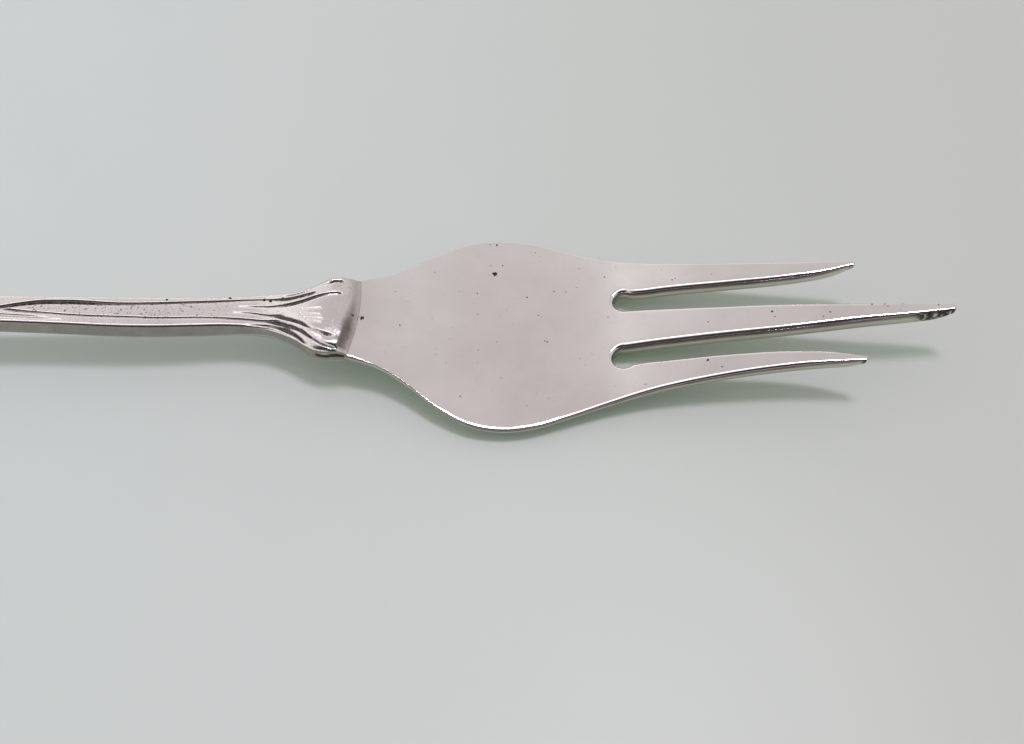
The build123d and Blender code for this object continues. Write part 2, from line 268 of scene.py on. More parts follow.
def inside(points, outline):
    """True for each point that lies inside a closed outline."""
    found = np.zeros(len(points), bool)
    for (x0, y0), (x1, y1) in zip(outline, np.roll(outline, -1, axis=0)):
        crosses = (y0 > points[:, 1]) != (y1 > points[:, 1])
        at = x0 + (points[:, 1] - y0) * (x1 - x0) / (y1 - y0 if y1 != y0 else 1.0)
        found ^= crosses & (points[:, 0] < at)
    return found


def new_piece(name, points, faces, masks, smooth_angle):
    """A mesh object from points in millimetres in the fork's own frame, with a mask for each shade."""
    mesh = bpy.data.meshes.new(name)
    moved = (np.array(points, float) + (shoulder_from_middle, 0.0, 0.0)) * mm
    mesh.from_pydata(moved.tolist(), [], faces)
    shaped = bmesh.new()
    shaped.from_mesh(mesh)
    bmesh.ops.recalc_face_normals(shaped, faces=shaped.faces)
    shaped.to_mesh(mesh)
    shaped.free()
    for mask, values in masks.items():
        layer = mesh.attributes.new(mask, "FLOAT", "POINT")
        layer.data.foreach_set("value", np.array(values, np.float32))
    mesh.shade_smooth()
    mesh.set_sharp_from_angle(angle=math.radians(smooth_angle))
    mesh.validate()
    piece = bpy.data.objects.new(name, mesh)
    bpy.context.scene.collection.objects.link(piece)
    return piece


centre_dirt_run = (55.4, 56.6)
outer_dirt_run = (50.0, 50.35)


def tip_dirt(x, y):
    """How black the wall is at a tine's end, over a few millimetres of the centre tine."""
    return share_between(x, *(centre_dirt_run if abs(y) < between_tines else outer_dirt_run))


# Where the wall's tarnish and painted shade and the black of the tips begin, as shares of the way round the
# edge
wall_begins = (0.3, 0.7)
dirt_begins = (0.2, 0.6)
# The underside takes part of the walls' lower colour, a painted reflection of the shaded green table
underside_tarnish_and_reflection = 0.6
head_points = []
wall_values = []
low_values = []
dirt_values = []
for inset, drops, rounds in top_rings:
    for (x, y), drop, rounded in zip(head_outline + inwards * inset[:, None], drops, rounds):
        head_points.append((x, y, plate_top(x) - drop))
        wall_values.append(share_between(rounded, *wall_begins))
        low_values.append(0.0)
        dirt_values.append(tip_dirt(x, y) * share_between(rounded, *dirt_begins))
for inset, rise in under_rings:
    for x, y in head_outline + inwards * (edge_radius * inset)[:, None]:
        head_points.append((x, y, plate_top(x) - plate_thickness_at(x, y) + rise))
        wall_values.append(1.0)
        low_values.append(1.0)
        dirt_values.append(tip_dirt(x, y))
ring_count = len(top_rings) + len(under_rings)
head_faces = []
for ring in range(ring_count - 1):
    for index in range(outline_count):
        after = (index + 1) % outline_count
        low = ring * outline_count
        high = low + outline_count
        head_faces.append((low + index, low + after, high + after, high + index))

# The flat of the plate, top and underside, is filled over a fine grid inside the innermost ring
inner_outline = head_outline + inwards * top_rings[0][0][:, None]
grid_step = 0.55
grid_half_width = 11.2
grid_room = 0.2
grid_along = np.arange(0.0, centre_tip_at, grid_step)
grid_across = np.arange(-grid_half_width, grid_half_width + 0.1, grid_step)
grid_x, grid_y = np.meshgrid(grid_along, grid_across)
grid = np.column_stack([grid_x.ravel(), grid_y.ravel()])
grid = grid[inside(grid, inner_outline + inwards * grid_room)]
fill_input = [tuple(point) for point in np.concatenate([inner_outline, grid])]
filled = delaunay_2d_cdt(fill_input, [], [list(range(outline_count))], 1, 1e-6)
bottom_start = (ring_count - 1) * outline_count
grid_start = len(head_points)
under_grid_start = grid_start + len(grid)
for x, y in grid:
    head_points.append((x, y, plate_top(x)))
for x, y in grid:
    head_points.append((x, y, plate_top(x) - plate_thickness_at(x, y)))
wall_values += [0.0] * len(grid) + [underside_tarnish_and_reflection] * len(grid)
low_values += [0.0] * len(grid) + [1.0] * len(grid)
dirt_values += [0.0] * 2 * len(grid)
on_top = [*range(outline_count), *range(grid_start, under_grid_start)]
underneath = [*range(bottom_start, grid_start), *range(under_grid_start, len(head_points))]
for face in filled[2]:
    sources = [filled[3][corner][0] for corner in face]
    head_faces.append(tuple(on_top[at] for at in sources))
    head_faces.append(tuple(underneath[at] for at in reversed(sources)))
head_masks = {"wall": wall_values, "low": low_values, "dirt_and_shade": dirt_values}
fork_head = new_piece("fork_head_silver", head_points, head_faces, head_masks, 40.0)


class Shade:
    """A socket of a material or of the world. Arithmetic on it adds Math nodes there."""

    def __init__(self, tree, socket=None):
        self.tree = tree
        self.socket = socket

    def node(self, kind, settings, sockets, output=0):
        """One output of a new node, from its type, its settings, then the values or links of its sockets."""
        made = self.tree.nodes.new(kind)
        for name, value in settings.items():
            setattr(made, name, value)
        for name, value in sockets.items():
            if isinstance(value, Shade):
                self.tree.links.new(value.socket, made.inputs[name])
            else:
                made.inputs[name].default_value = value
        return Shade(self.tree, made.outputs[output])

    def math(self, operation, *values):
        return self.node("ShaderNodeMath", {"operation": operation}, dict(enumerate(values)))

    def vector(self, operation, *values, output=0):
        return self.node("ShaderNodeVectorMath", {"operation": operation}, dict(enumerate(values)), output)

    def mix(self, start, end):
        """A colour between two colours, by this value."""
        settings = {"data_type": "RGBA", "clamp_factor": True}
        return self.node("ShaderNodeMix", settings, {0: self, 6: start, 7: end}, 2)

    def eased(self, start, end):
        """0 below start and 1 above end, with a smooth change between."""
        settings = {"interpolation_type": "SMOOTHSTEP"}
        return self.node("ShaderNodeMapRange", settings, {0: self, 1: start, 2: end})

    def __add__(self, other):
        return self.math("ADD", self, other)

    __radd__ = __add__

    def __sub__(self, other):
        return self.math("SUBTRACT", self, other)

    def __rsub__(self, other):
        return self.math("SUBTRACT", other, self)

    def __mul__(self, other):
        return self.math("MULTIPLY", self, other)

    __rmul__ = __mul__


def new_material(name):
    """An empty material, its node tree, its shader and the place on the object."""
    material = bpy.data.materials.new(name)
    material.use_nodes = True
    tree = material.node_tree
    shader = tree.nodes["Principled BSDF"]
    place = Shade(tree).node("ShaderNodeTexCoord", {}, {}, "Object")
    return material, tree, shader, place


def noise(place, scale, stretch=(1, 1, 1), turn=0.0, detail=3.0):
    """Noise by place, stretched along a direction in the plane of the fork."""
    mapping = {"Vector": place, "Rotation": (0, 0, turn), "Scale": stretch}
    turned = place.node("ShaderNodeMapping", {}, mapping)
    sockets = {"Vector": turned, "Scale": scale, "Detail": detail, "Roughness": 0.55}
    return place.node("ShaderNodeTexNoise", {"noise_dimensions": "3D"}, sockets, "Fac")


def attribute(place, name):
    """A mask kept on the mesh."""
    return place.node("ShaderNodeAttribute", {"attribute_name": name}, {}, "Fac")


def link(tree, shade, shader, name):
    """Feeds a shader's socket."""
    tree.links.new(shade.socket, shader.inputs[name])


def fine_bump(height):
    """The normal of a surface with a tiny relief."""
    sockets = {"Strength": 0.35, "Distance": 0.00002, "Height": height}
    return height.node("ShaderNodeBump", {}, sockets, "Normal")


bright_silver = (0.86, 0.775, 0.785, 1.0)
worn_silver = (0.77, 0.69, 0.70, 1.0)
tarnish_brown = (0.062, 0.046, 0.046, 1.0)
wall_tarnish_and_shade_brown = (0.16, 0.112, 0.098, 1.0)
wall_reflected_table_green = (0.6, 0.6, 0.49, 1.0)
pit_black = (0.025, 0.02, 0.018, 1.0)
plate_roughness = 0.075
scratch_strength = 0.2
pinhole_strength = 0.4


def fine_scratches(place):
    """Fine straight scratches in three directions."""
    first = noise(place, 2600.0, (0.06, 1.6, 1.0), 0.12, 1.0).eased(0.6, 0.75)
    second = noise(place, 2300.0, (1.5, 0.07, 1.0), 0.2, 1.0).eased(0.6, 0.75)
    third = noise(place, 2500.0, (0.06, 1.7, 1.0), -0.6, 1.0).eased(0.64, 0.78)
    return first + second + third


def pits(place, above, spots):
    """A mask of small ragged pits, each given by its place and radius in millimetres."""
    total = 0.0
    upright_share = 0.3
    raggedness = (noise(place, 5200.0) - 0.5) * 1.5
    flatter = place.vector("MULTIPLY", place, (1.0, 1.0, upright_share))
    for x, y, radius in spots:
        centre = ((shoulder_from_middle + x) * mm, y * mm, (plate_top(x) + above) * upright_share * mm)
        away = place.vector("DISTANCE", flatter, centre, output=1)
        ragged = away * (1.0 / (radius * mm)) + raggedness
        total = (1 - ragged.eased(0.55, 1.0)) + total
    return total


head_material, tree, shader, place = new_material("satin_silver_plate")
cloudy = noise(place, 130.0)
grain = noise(place, 5200.0, detail=2.0)
scratches = fine_scratches(place)
wall = attribute(place, "wall")
plate_pit_spots = [
    (14.06, 7.12, 0.34), (14.23, 10.8, 0.14), (0.75, 0.15, 0.3), (35.35, -4.61, 0.18), (32.33, 5.23, 0.1),
    (35.63, -0.2, 0.1), (36.66, -5.53, 0.09), (41.98, 0.44, 0.15), (42.2, -0.16, 0.08), (47.63, -0.06, 0.13),
    (46.9, -0.49, 0.11), (51.75, 0.6, 0.11), (53.02, 0.56, 0.1), (58.2, 0.2, 0.09), (25.5, 6.42, 0.1),
    (4.55, -0.22, 0.1), (12.26, 4.61, 0.1), (17.44, 4.25, 0.1), (19.24, -1.06, 0.1), (19.49, -1.18, 0.1),
    (18.58, 2.03, 0.08), (10.79, -7.72, 0.12), (14.8, -5.36, 0.08), (12.46, -2.25, 0.09),
    (20.22, 4.92, 0.09), (21.46, 4.85, 0.08), (18.3, 9.85, 0.08), (14.86, 8.19, 0.09), (13.63, 8.21, 0.09),
    (13.52, 10.85, 0.08),
]
plate_pits = pits(place, 0.0, plate_pit_spots)
shade = cloudy.eased(0.3, 0.72).mix(bright_silver, worn_silver)
shade = (scratches * scratch_strength).mix(shade, worn_silver)
# The walls are darkened by tarnish and painted shade: dark brown at the top, a painted reflection of the
# dark room, and green grey lower down, a painted reflection of the shaded green table
wall_shade = attribute(place, "low").eased(0.06, 0.5).mix(wall_tarnish_and_shade_brown, wall_reflected_table_green)
wall_tarnish_and_shade = wall * (0.82 + noise(place, 420.0).eased(0.25, 0.75) * 0.18)
shade = wall_tarnish_and_shade.mix(shade, wall_shade)
pinholes = noise(place, 2300.0, detail=1.0).eased(0.72, 0.83) * pinhole_strength
tip_black = attribute(place, "dirt_and_shade") * noise(place, 1900.0).eased(0.36, 0.52)
shade = (tip_black + pinholes).mix(shade, pit_black)
shade = plate_pits.mix(shade, pit_black)
link(tree, shade, shader, "Base Color")
roughness = plate_roughness + cloudy * 0.03 + grain * 0.02 + scratches * 0.015 + plate_pits * 0.3
link(tree, roughness, shader, "Roughness")
shader.inputs["Metallic"].default_value = 1.0
link(tree, fine_bump(grain * 0.4 - scratches * 0.04 - plate_pits * 0.2), shader, "Normal")
fork_head.data.materials.append(head_material)
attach(fork_head, "root")
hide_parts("fork_head")

# Front shell
# The front half of the handle, pressed from thin silver sheet in a die. Reeds run along it round a narrow
# sunk field and open into a fan with a lobe at each side, whose end is dressed down onto the plate.

handle_length = 90.0
butt_widest_at = -82.0
butt_half_width = 6.4
butt_round_radius = 8.2
narrowest_half = 0.2
butt_side = [(-82.0, 6.4), (-72.0, 5.5), (-62.0, 3.7), (-50.0, 2.15), (-42.0, 1.65)]
far_stem_side = [(-36.0, 1.52), (-29.0, 1.6), (-24.0, 1.68), (-17.0, 1.78), (-12.5, 1.98)]
near_stem_side = [(-36.0, 1.67), (-29.0, 1.79), (-24.0, 1.92), (-20.0, 1.89), (-16.0, 1.7), (-12.5, 1.55)]
far_fan_side = [
    (-10.0, 2.2), (-7.6, 2.45), (-5.9, 2.72), (-4.9, 3.06), (-3.8, 3.66), (-3.0, 4.06), (-2.3, 4.36),
    (-1.5, 4.5), (-0.6, 4.46), (0.6, 4.36),
]
near_fan_side = [
    (-10.0, 1.66), (-8.5, 1.9), (-7.0, 2.44), (-5.6, 3.12), (-4.6, 3.8), (-3.7, 4.25), (-2.9, 4.42),
    (-2.1, 4.52), (-1.2, 4.5), (0.6, 4.36),
]
far_side = smooth_through(butt_side + far_stem_side + far_fan_side, 0.1)
near_side = smooth_through(butt_side + near_stem_side + near_fan_side, 0.1)
fan_end_reach = 0.55
fan_end_radius = 22.0
fan_end_skew = 2.4
fan_end_lean = 1.15


def handle_half_width(x, side):
    """Width of one side of the handle at x, the far side if side is over 0, rounded off at the butt."""
    line = far_side if side > 0 else near_side
    half = float(np.interp(x, line[:, 0], line[:, 1]))
    if x < butt_widest_at:
        past = (butt_widest_at - x) / butt_round_radius
        half = butt_half_width * math.sqrt(max(0.0, 1 - past * past))
    return max(half, narrowest_half)


def eased_between(x, stops):
    """A value at x that eases from each stop to the next."""
    places = np.array([place for place, value in stops])
    values = np.array([value for place, value in stops])
    index = int(np.clip(np.searchsorted(places, x) - 1, 0, len(stops) - 2))
    part = np.clip((x - places[index]) / (places[index + 1] - places[index]), 0, 1)
    return float(values[index] + (values[index + 1] - values[index]) * part * part * (3 - 2 * part))


front_heights = [
    (-90.0, 0.55), (-82.0, 0.9), (-62.0, 0.55), (-36.0, 0.4), (-12.0, 0.4), (-2.0, 0.55), (0.6, 0.55),
]
crown_heights = [(-90.0, 0.0), (-60.0, 0.0), (-10.0, 0.0), (-2.5, 0.75), (0.6, 0.75)]
field_depth = 0.13
field_run = [(-35.5, 0.0), (-32.0, 1.0), (-15.0, 1.0), (-10.0, 0.0)]
field_slope = (-0.05, 0.07)

# Grooves of the relief: places along each, and its strength at some of them
groove_depth = 0.24
groove_width = 0.16
faint_groove_width_share = 0.45
deepest_cut = 1.1
grooves = [
    (
        [
            (-60.0, 0.4), (-48.0, 0.35), (-41.0, 0.25), (-35.2, 0.05), (-33.3, 0.46), (-31.4, 0.76),
            (-28.9, 0.86), (-23.4, 0.78), (-20.5, 0.88), (-16.5, 1.12), (-13.0, 1.34), (-10.0, 1.52),
            (-8.3, 1.54), (-6.9, 1.54), (-6.0, 1.68), (-5.0, 1.93), (-4.2, 2.13), (-3.4, 2.48),
        ],
        [
            (-60.0, 0.0), (-50.0, 0.7), (-36.0, 0.9), (-28.0, 1.0), (-22.0, 0.55), (-9.0, 0.5), (-6.5, 1.0),
            (-4.4, 1.0), (-3.4, 0.0),
        ],
    ),
    (
        [
            (-36.0, -0.1), (-34.2, -0.25), (-31.2, -0.46), (-27.2, -0.69), (-23.2, -0.74), (-18.75, -0.77),
            (-15.3, -0.62), (-12.8, -0.66), (-9.8, -0.88), (-8.1, -1.08), (-7.0, -1.34), (-6.0, -1.7),
            (-5.0, -2.19), (-4.3, -2.73), (-3.6, -3.24), (-2.9, -3.68), (-2.1, -3.98), (-1.1, -4.16),
        ],
        [
            (-36.0, 0.0), (-34.0, 0.8), (-30.0, 0.7), (-9.0, 0.65), (-7.2, 1.45), (-5.0, 1.35), (-3.4, 0.9),
            (-2.0, 0.9), (-1.1, 0.0),
        ],
    ),
    (
        [
            (-12.5, 0.8), (-9.9, 0.74), (-8.8, 0.69), (-7.7, 0.73), (-6.4, 0.86), (-5.2, 1.14), (-4.1, 1.53),
            (-3.0, 1.9), (-2.0, 2.1), (-0.9, 2.06),
        ],
        [(-12.5, 0.0), (-8.0, 0.55), (-6.0, 1.0), (-4.0, 0.95), (-3.0, 0.75), (-1.6, 0.7), (-0.9, 0.0)],
    ),
    (
        [
            (-13.0, 0.1), (-9.8, -0.1), (-8.8, -0.28), (-7.4, -0.49), (-6.1, -0.9), (-5.0, -1.36),
            (-4.3, -1.82), (-3.5, -2.27), (-2.7, -2.66), (-1.4, -2.94),
        ],
        [(-13.0, 0.0), (-8.5, 0.6), (-6.8, 1.35), (-5.0, 1.35), (-3.8, 0.6), (-2.4, 0.9), (-1.4, 0.0)],
    ),
    (
        [
            (-11.0, -1.3), (-9.6, -1.42), (-8.2, -1.58), (-7.2, -1.82), (-6.2, -2.22), (-5.3, -2.82),
            (-4.7, -3.36), (-4.0, -3.9),
        ],
        [(-11.0, 0.0), (-8.0, 0.7), (-6.4, 1.45), (-5.0, 1.2), (-4.0, 0.0)],
    ),
    (
        [(-8.0, 1.86), (-6.0, 2.1), (-5.0, 2.44), (-4.2, 2.9)],
        [(-8.0, 0.0), (-6.0, 0.5), (-5.0, 0.6), (-4.2, 0.0)],
    ),
    ([(-3.0, 3.3), (-2.1, 3.66), (-0.9, 3.68)], [(-3.0, 0.0), (-2.3, 1.2), (-1.4, 1.2), (-0.9, 0.0)]),
    ([(-5.6, -0.18), (-2.8, -0.56)], [(-5.6, 0.0), (-5.0, 0.25), (-3.6, 0.25), (-2.8, 0.0)]),
    ([(-5.1, -0.74), (-2.6, -1.02)], [(-5.1, 0.0), (-4.6, 0.25), (-3.3, 0.25), (-2.6, 0.0)]),
    ([(-4.8, -1.0), (-2.8, -1.5)], [(-4.8, 0.0), (-4.3, 0.25), (-3.3, 0.25), (-2.8, 0.0)]),
    ([(-5.4, 0.26), (-2.8, 0.3)], [(-5.4, 0.0), (-4.8, 0.22), (-3.5, 0.22), (-2.8, 0.0)]),
    ([(-37.0, -0.7), (-29.5, -1.02)], [(-37.0, 0.35), (-33.0, 0.35), (-29.5, 0.0)]),
    ([(-37.0, -0.93), (-28.0, -1.25)], [(-37.0, 0.35), (-32.0, 0.35), (-28.0, 0.0)]),
]
groove_lines = [(smooth_through(places, 0.1), strengths) for places, strengths in grooves]


def end_of_fan(y):
    """How far the fan reaches over the plate at y."""
    return fan_end_reach - (y - fan_end_skew) ** 2 / (2 * fan_end_radius)


def in_field(x, y):
    """1 in the sunk field between the two long grooves, 0 outside it."""
    upper = np.interp(x, groove_lines[0][0][:, 0], groove_lines[0][0][:, 1])
    lower = np.interp(x, groove_lines[1][0][:, 0], groove_lines[1][0][:, 1])
    within = min(upper - y, y - lower)
    return eased_between(x, field_run) * share_between(within, *field_slope)


# The lobes at the fan's sides, the rounded rim along the handle, and the curve of the fan's end
lobe_x = -1.9
lobe_y = 3.75
lobe_length = 1.2
lobe_width = 0.7
lobe_height = 0.2
rim_width = 0.34
rim_share = 0.3
rim_drop = 0.3
end_roundness = 0.45


def relief(x, y):
    """Height of the front over the plate's top at x and y, and how deep the place lies in the relief."""
    half = handle_half_width(x, y)
    height = eased_between(x, front_heights)
    height += eased_between(x, crown_heights) * max(0.0, 1 - (y / half) ** 4)
    sunk = 0.0
    height -= field_depth * in_field(x, y)
    for line, strengths in groove_lines:
        if x < line[0, 0] or x > line[-1, 0]:
            continue
        strength = eased_between(x, strengths)
        width_share = faint_groove_width_share + (1 - faint_groove_width_share) * strength**2
        from_line = y - np.interp(x, line[:, 0], line[:, 1])
        cut = strength * math.exp(-((from_line / (groove_width * width_share)) ** 2))
        height -= groove_depth * min(cut, deepest_cut)
        sunk += cut
    lobe = math.exp(-(((x - lobe_x) / lobe_length) ** 2) - ((abs(y) - lobe_y) / lobe_width) ** 2)
    height += lobe_height * lobe
    rim = min(rim_width, rim_share * half)
    over = max(0.0, abs(y) - (half - rim)) / rim
    height -= rim_drop * (1 - math.sqrt(max(0.0, 1 - min(over, 1.0) ** 2)))
    to_end = (end_of_fan(y) - x) / fan_end_lean
    if to_end < 1:
        part = max(0.0, to_end)
        sloped = part * part * (3 - 2 * part)
        rounded = math.sqrt(1 - (1 - part) ** 2)
        height *= sloped * (1 - end_roundness) + rounded * end_roundness
    return height, sunk


# The painted shade along the fan's end: where it grows across the fan, where it stops at the near lobe,
# its distance from the end and its width on the far side, and how much of both the near side adds. A faint
# painted shade covers the rest of the fan.
painted_shade_far = 3.4
painted_shade_near = -1.6
least_painted_shade = 0.25
painted_shade_stop = (-4.35, -3.85)
painted_shade_from_end = 0.35
painted_shade_width = 0.25
painted_shade_growth = 0.4
fan_painted_shade = 0.16
fan_painted_shade_run = (-6.0, -3.5)


def fan_end_painted_shade(x, y):
    """How much painted shade lies on the dressed end of the fan at x and y, most at its near side, and
    faintly over the fan.
    """
    from_end = end_of_fan(y) - x
    near = max(share_between(y, painted_shade_far, painted_shade_near), least_painted_shade) * share_between(y, *painted_shade_stop)
    from_middle = from_end - painted_shade_from_end - painted_shade_growth * near
    band = near * math.exp(-((from_middle / (painted_shade_width + painted_shade_growth * near)) ** 2))
    return max(band, fan_painted_shade * share_between(x, *fan_painted_shade_run))


neck_from = -37.0
fan_from = -12.0
end_from = -0.7
pull_from = -5.0


def handle_stations():
    """Places along the handle, close together where the relief is fine."""
    butt_turns = np.radians([84, 74, 62, 50, 36, 22, 10])
    butt = butt_widest_at - (handle_length + butt_widest_at) * np.sin(butt_turns)
    outer = np.arange(butt_widest_at, neck_from, 0.5)
    neck = np.arange(neck_from, fan_from, 0.14)
    fan = np.arange(fan_from, end_from, 0.08)
    end = np.linspace(end_from, fan_end_reach, 24)
    return np.concatenate([butt, outer, neck, fan, end])


def pulled_to_end(x, y):
    """x of a place on the handle once its last stations follow the fan's rounded end."""
    part = share_between(x, pull_from, fan_end_reach)
    return x + (end_of_fan(y) - fan_end_reach) * part * part * (3 - 2 * part)


def closed_tube(rings):
    """Faces of a tube through rings of as many points each, closed at both ends."""
    count = len(rings[0])
    faces = [tuple(reversed(range(count)))]
    for ring in range(len(rings) - 1):
        low = ring * count
        for index in range(count):
            after = (index + 1) % count
            faces.append((low + index, low + after, low + count + after, low + count + index))
    last = (len(rings) - 1) * count
    faces.append(tuple(range(last, last + count)))
    return faces


# Shares of the width, closer together at the sides, and of the side wall from the rim to the seam. The side
# walls and the rim's outer edge get a painted reflection of the shaded green table. The wall under the near
# lobe is darkened brown as far down as lobe_dark_share.
seam_depth = 0.6
crowding = math.pi / 2 * 0.93
across = np.sin(np.linspace(-1, 1, 141) * crowding) / math.sin(crowding)
wall_shares = (0.25, 0.6, 0.94, 1.0)
rim_begins = 0.97
lobe_dark_run = (-3.6, 0.3)
lobe_dark_share = 0.9
front_rings = []
front_sunk = []
front_wall = []
front_painted_shade = []
front_field = []
for station in handle_stations():
    far_half = handle_half_width(station, 1)
    near_half = handle_half_width(station, -1)
    ring = []
    for share in across:
        y = share * (far_half if share > 0 else near_half)
        x = pulled_to_end(station, y)
        height, sunk = relief(x, y)
        ring.append((x, y, plate_top(x) + height))
        front_sunk.append(min(sunk, 1.0))
        front_wall.append(1.0 if abs(share) > rim_begins else 0.0)
        front_painted_shade.append(fan_end_painted_shade(x, y))
        front_field.append(in_field(x, y))
    for y, shares in ((far_half, wall_shares), (-near_half, wall_shares[::-1])):
        x = pulled_to_end(station, y)
        rim = relief(x, y)[0]
        under_lobe = y < 0 and lobe_dark_run[0] < x < lobe_dark_run[1]
        for share in shares:
            ring.append((x, y, plate_top(x) + rim + (-seam_depth - rim) * share))
            front_sunk.append(1.0 if under_lobe and share < lobe_dark_share else 0.0)
            front_wall.append(1.0)
            front_painted_shade.append(0.0)
            front_field.append(0.0)
    front_rings.append(ring)
front_points = [point for ring in front_rings for point in ring]
front_masks = {"sunk": front_sunk, "wall": front_wall, "dirt_and_shade": front_painted_shade, "field": front_field}
front_shell = new_piece("front_shell_silver", front_points, closed_tube(front_rings), front_masks, 60.0)

end_shade_purple = (0.19, 0.155, 0.16, 1.0)
side_reflected_table_green = (0.31, 0.298, 0.245, 1.0)
handle_roughness = 0.11
groove_tarnish = 0.94
handle_material, tree, shader, place = new_material("reeded_handle_silver")
cloudy = noise(place, 220.0)
grain = noise(place, 4200.0, detail=2.0)
scratches = fine_scratches(place)
sunk = attribute(place, "sunk")
wall = attribute(place, "wall")
handle_pit_height = 0.4
handle_pit_spots = [
    (-18.8, 1.38, 0.16), (-12.5, 1.74, 0.2), (-9.1, 1.62, 0.17), (-8.4, 1.42, 0.24), (-7.2, 1.7, 0.17),
    (-6.4, 1.4, 0.16), (-8.8, 2.25, 0.12), (-11.6, 2.05, 0.11), (-1.3, -0.9, 0.13), (-0.1, -0.1, 0.2),
]
handle_pits = pits(place, handle_pit_height, handle_pit_spots)
shade = cloudy.eased(0.3, 0.72).mix(bright_silver, worn_silver)
# The fan's dressed end gets a purple grey painted shade, most at its near side
end_painted_shade = attribute(place, "dirt_and_shade") * (0.75 + noise(place, 1500.0) * 0.5)
shade = end_painted_shade.mix(shade, end_shade_purple)
# Walls, the rim's outer edge and part of the back take the side colour, a painted reflection of the shaded
# green table
wall_tarnish_and_shade = wall * (0.85 + noise(place, 420.0).eased(0.25, 0.75) * 0.15)
shade = wall_tarnish_and_shade.mix(shade, side_reflected_table_green)
specks = noise(place, 4300.0, detail=2.0).eased(0.54, 0.67)
field_specks = specks * (0.2 + attribute(place, "field") * 0.65)
tarnish = (sunk * (0.45 + noise(place, 2600.0) * 1.1)).eased(0.25, 1.0) * groove_tarnish + field_specks
shade = tarnish.mix(shade, tarnish_brown)
shade = handle_pits.mix(shade, pit_black)
link(tree, shade, shader, "Base Color")
roughness = handle_roughness + cloudy * 0.03 + grain * 0.03 + tarnish * 0.5 + handle_pits * 0.3
link(tree, roughness, shader, "Roughness")
shader.inputs["Metallic"].default_value = 1.0
link(tree, fine_bump(grain * 0.9 - scratches * 0.05 - handle_pits * 0.2), shader, "Normal")
front_shell.data.materials.append(handle_material)
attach(front_shell, "root")
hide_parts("front_shell")

# Back shell
# The plain convex back half of the handle, pressed from the same sheet. Its edges are soldered to the
# front shell's along the sides, and its end lies under the plate's shoulder.

side_depths = [(-90.0, 1.4), (-82.0, 1.5), (-15.0, 1.5), (-7.5, 0.75), (-3.5, 0.9), (0.6, 0.9)]
back_depths = [(-90.0, 1.5), (-82.0, 2.0), (-62.0, 2.15), (-17.0, 2.15), (-4.5, 2.5), (0.6, 2.45)]
back_shares = np.sin(np.linspace(-1, 1, 41) * math.pi / 2)
back_wall_shares = (0.0, 0.08, 0.5, 1.0)
back_wall_lift = 0.04
# The back takes a share of the sides' painted reflection colour
back_tarnish_and_reflection = 0.3
back_rings = []
back_wall = []
for station in handle_stations():
    far_half = handle_half_width(station, 1)
    near_half = handle_half_width(station, -1)
    side = eased_between(station, side_depths)
    deep = eased_between(station, back_depths)
    wall_height = side - back_wall_lift - seam_depth
    x = pulled_to_end(station, -near_half)
    seam = plate_top(x) - seam_depth
    ring = [(x, -near_half, seam - wall_height * share) for share in back_wall_shares]
    for share in back_shares:
        y = share * (far_half if share > 0 else near_half)
        x = pulled_to_end(station, y)
        z = plate_top(x) - side - (deep - side) * math.sqrt(max(0.0, 1 - share * share))
        ring.append((x, y, z))
    x = pulled_to_end(station, far_half)
    seam = plate_top(x) - seam_depth
    ring += [(x, far_half, seam - wall_height * share) for share in back_wall_shares[::-1]]
    back_rings.append(ring)
    wall_mask = [1.0] * len(back_wall_shares)
    back_wall += wall_mask + [back_tarnish_and_reflection] * len(back_shares) + wall_mask
back_points = [point for ring in back_rings for point in ring]
back_masks = {"sunk": [0.0] * len(back_points), "wall": back_wall}
back_shell = new_piece("back_shell_silver", back_points, closed_tube(back_rings), back_masks, 60.0)
back_shell.data.materials.append(handle_material)
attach(back_shell, "root")
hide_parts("back_shell")

# Handle filling
# Brown cement of resin and chalk, poured hot into the shells round the tang. It lies wholly inside the
# handle, so the solid of the frame is kept and given the cement's finish.

dark_cement = (0.07, 0.045, 0.028, 1.0)
pale_cement = (0.12, 0.085, 0.055, 1.0)
cement_material, tree, shader, place = new_material("handle_cement")
crumbs = noise(place, 1800.0)
link(tree, crumbs.eased(0.3, 0.7).mix(dark_cement, pale_cement), shader, "Base Color")
link(tree, 0.75 + crumbs * 0.2, shader, "Roughness")
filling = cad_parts["handle_filling"]
filling.data.materials.clear()
filling.data.materials.append(cement_material)

# Table, light and camera
# The fork lies on a pale sheet of satin glass, under one soft lamp high over it and a little behind, in a
# pale room that is dark on the viewer's side. It is seen from in front and above.

table_half = 1.5
glass_grey = (0.532, 0.525, 0.552, 1.0)
glass_pale_grey = (0.544, 0.537, 0.563, 1.0)
glass_painted_shade_at_tips = (0.459, 0.431, 0.439, 1.0)
glass_painted_green_light = (0.62, 1.0, 0.62, 1.0)
painted_light_strength = 0.085
glass_roughness = 0.4
glass_reflection = 0.3
table_mesh = bpy.data.meshes.new("table")
corners = [(-1, -1), (1, -1), (1, 1), (-1, 1)]
table_mesh.from_pydata([(x * table_half, y * table_half, 0) for x, y in corners], [], [(0, 1, 2, 3)])
table = bpy.data.objects.new("table", table_mesh)
bpy.context.scene.collection.objects.link(table)
table_material, tree, shader, place = new_material("pale_table")
specks = noise(place, 90.0)
glass = specks.eased(0.2, 0.8).mix(glass_grey, glass_pale_grey)
# The glass is darker towards the tines: a painted shade
along_table = place.node("ShaderNodeSeparateXYZ", {}, {"Vector": place}, "X")
glass = along_table.eased(-0.05, 0.1).mix(glass, glass_painted_shade_at_tips)
link(tree, glass, shader, "Base Color")
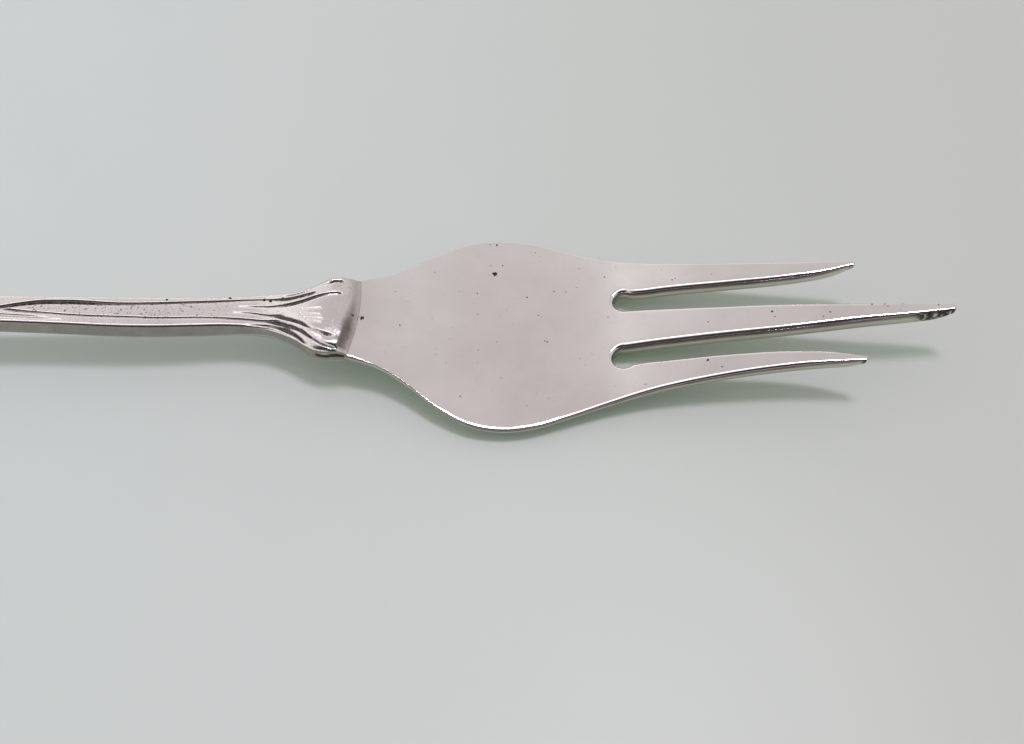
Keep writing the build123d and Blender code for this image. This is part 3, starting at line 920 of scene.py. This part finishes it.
# The glass glows faintly green: painted light that lightens and greens the shadows
shader.inputs["Emission Color"].default_value = glass_painted_green_light
shader.inputs["Emission Strength"].default_value = painted_light_strength
shader.inputs["Roughness"].default_value = glass_roughness
shader.inputs["Specular IOR Level"].default_value = glass_reflection
table.data.materials.append(table_material)

key_data = bpy.data.lights.new("soft_light", "AREA")
key_data.shape = "RECTANGLE"
key_data.size = 0.2
key_data.size_y = 0.12
key_data.energy = 2.45
key_data.color = (0.98, 0.95, 1.06)
key_light = bpy.data.objects.new("soft_light", key_data)
key_light.location = (0.14, 0.166, 0.8)
lit_place = Vector((0.03, 0.0, 0.0))
key_light.rotation_euler = (key_light.location - lit_place).to_track_quat("Z", "Y").to_euler()
bpy.context.scene.collection.objects.link(key_light)

# The room: brighter towards the handle, greyer overhead, with one bright window high over the fork
room_at_tips = (0.69, 0.70, 0.67, 1.0)
room_at_handle = (1.0, 1.03, 0.99, 1.0)
overhead_grey = (0.592, 0.592, 0.575, 1.0)
window_white = (2.3, 2.25, 2.3, 1.0)
viewer_dark = (0.05, 0.05, 0.05, 1.0)
world = bpy.data.worlds.new("studio")
bpy.context.scene.world = world
world.use_nodes = True
tree = world.node_tree
direction = Shade(tree).node("ShaderNodeTexCoord", {}, {}, "Generated")
towards_top = direction.vector("DOT_PRODUCT", direction, (0.0, 0.3, 0.954), output=1)
towards_handle = direction.vector("DOT_PRODUCT", direction, (-1.0, 0.0, 0.0), output=1)
sky = towards_handle.eased(-0.5, 0.5).mix(room_at_tips, room_at_handle)
sky = towards_top.eased(0.88, 0.99).mix(sky, overhead_grey)
across_sky = direction.node("ShaderNodeSeparateXYZ", {}, {"Vector": direction}, "Y")
along_sky = direction.node("ShaderNodeSeparateXYZ", {}, {"Vector": direction}, "X")
lit_across = across_sky.eased(0.06, 0.14) * (1 - across_sky.eased(0.24, 0.34))
lit_along = along_sky.eased(-0.36, -0.24) * (1 - along_sky.eased(0.1, 0.18))
sky = (lit_across * lit_along).mix(sky, window_white)
towards_room = direction.vector("DOT_PRODUCT", direction, (0.0, -0.74, 0.67), output=1)
sky = towards_room.eased(0.74, 0.86).mix(sky, viewer_dark)
tree.links.new(sky.socket, tree.nodes["Background"].inputs["Color"])

# The camera's turn, roll and place come from the outlines of the palm, the tines and the handle
photo_width = 1024
focal_pixels = 1443.7
camera_tilt = math.radians(60.0)
camera_turn = math.radians(-0.935)
camera_roll = math.radians(-0.748)
camera_place = (0.03209, -0.07732, 0.12754)
right = np.array([math.cos(camera_turn), -math.sin(camera_turn), 0.0])
down = np.array(
    [
        -math.sin(camera_tilt) * math.sin(camera_turn),
        -math.sin(camera_tilt) * math.cos(camera_turn),
        -math.cos(camera_tilt),
    ]
)
forward = np.array(
    [
        math.cos(camera_tilt) * math.sin(camera_turn),
        math.cos(camera_tilt) * math.cos(camera_turn),
        -math.sin(camera_tilt),
    ]
)
rolled_right = math.cos(camera_roll) * right - math.sin(camera_roll) * down
rolled_down = math.sin(camera_roll) * right + math.cos(camera_roll) * down
camera_data = bpy.data.cameras.new("camera")
camera_data.sensor_fit = "HORIZONTAL"
camera_data.sensor_width = 36.0
camera_data.lens = focal_pixels * camera_data.sensor_width / photo_width
camera_data.clip_start = 0.01
camera = bpy.data.objects.new("camera", camera_data)
turned = Matrix((rolled_right, -rolled_down, -forward)).transposed()
camera.matrix_world = Matrix.Translation(camera_place) @ turned.to_4x4()
bpy.context.scene.collection.objects.link(camera)
bpy.context.scene.camera = camera
bpy.context.scene.view_settings.view_transform = "Standard"
